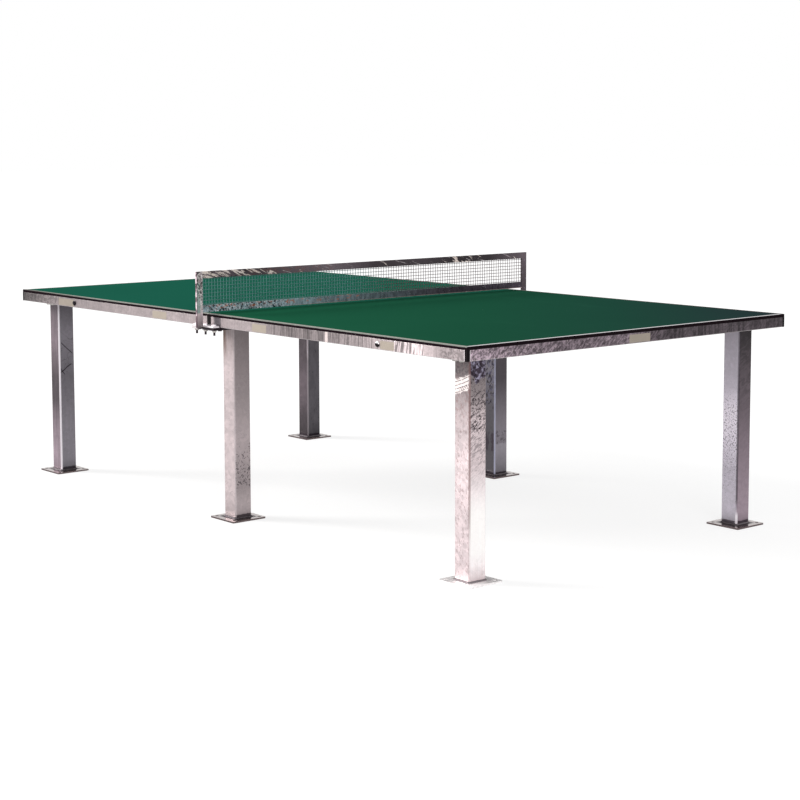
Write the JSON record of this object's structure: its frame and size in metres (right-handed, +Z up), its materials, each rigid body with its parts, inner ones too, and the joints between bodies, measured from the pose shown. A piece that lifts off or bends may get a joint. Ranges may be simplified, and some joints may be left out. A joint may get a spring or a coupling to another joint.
{
  "type": "table tennis table",
  "caption": "Outdoor ping pong table: green top in two halves on a galvanised steel frame with square legs, foot plates and a fixed wire-mesh net.",
  "frame": {"origin": "on the floor under the middle of the table, at the bottom centre of the bounding box", "axes": "+Z up; X along the table's length with the joint and the net at x = 0; Y across the table's width, front at -Y"},
  "size_m": [2.74, 1.633, 0.9125],
  "materials": {
    "green_top": "satin resin laminate, pale boundary line, black edge",
    "galvanised_frame": "hot-dip galvanised, streaky",
    "galvanised_legs": "hot-dip galvanised with spangle",
    "galvanised_net": "hot-dip galvanised, glossy",
    "net_wire": "galvanised wire",
    "zinc_fasteners": "zinc plated",
    "black_plastic": "moulded, slightly glossy"
  },
  "bodies": {
    "root": {"bracket_bolts": "zinc_fasteners", "bracket_nuts": "zinc_fasteners", "corner_guards_a": "black_plastic", "corner_guards_b": "black_plastic", "cross_member_a1": "galvanised_frame", "cross_member_a2": "galvanised_frame", "cross_member_a3": "galvanised_frame", "cross_member_b1": "galvanised_frame", "cross_member_b2": "galvanised_frame", "cross_member_b3": "galvanised_frame", "end_rail_a": "galvanised_frame", "end_rail_b": "galvanised_frame", "foot_plate_back_a": "galvanised_legs", "foot_plate_back_b": "galvanised_legs", "foot_plate_back_middle": "galvanised_legs", "foot_plate_front_a": "galvanised_legs", "foot_plate_front_b": "galvanised_legs", "foot_plate_front_middle": "galvanised_legs", "head_plate_back_a": "galvanised_legs", "head_plate_back_b": "galvanised_legs", "head_plate_back_middle": "galvanised_legs", "head_plate_front_a": "galvanised_legs", "head_plate_front_b": "galvanised_legs", "head_plate_front_middle": "galvanised_legs", "joint_bolts": "zinc_fasteners", "joint_nuts": "zinc_fasteners", "joint_rail_a": "galvanised_frame", "joint_rail_b": "galvanised_frame", "leg_back_a": "galvanised_legs", "leg_back_b": "galvanised_legs", "leg_back_middle": "galvanised_legs", "leg_bolts": "zinc_fasteners", "leg_front_a": "galvanised_legs", "leg_front_b": "galvanised_legs", "leg_front_middle": "galvanised_legs", "leg_nuts": "zinc_fasteners", "leg_washers": "zinc_fasteners", "net_bolts": "zinc_fasteners", "net_bottom_rail": "galvanised_net", "net_bracket_back": "galvanised_net", "net_bracket_front": "galvanised_net", "net_foot_back": "galvanised_net", "net_foot_front": "galvanised_net", "net_mesh": "net_wire", "net_nuts": "zinc_fasteners", "net_post_back": "galvanised_net", "net_post_front": "galvanised_net", "net_top_rail": "galvanised_net", "panel_screws_a": "zinc_fasteners", "panel_screws_b": "zinc_fasteners", "side_bolts": "zinc_fasteners", "side_nuts": "zinc_fasteners", "side_rail_back_a": "galvanised_frame", "side_rail_back_b": "galvanised_frame", "side_rail_front_a": "galvanised_frame", "side_rail_front_b": "galvanised_frame", "top_panel_a": "green_top", "top_panel_b": "green_top"}
  },
  "joints": []
}
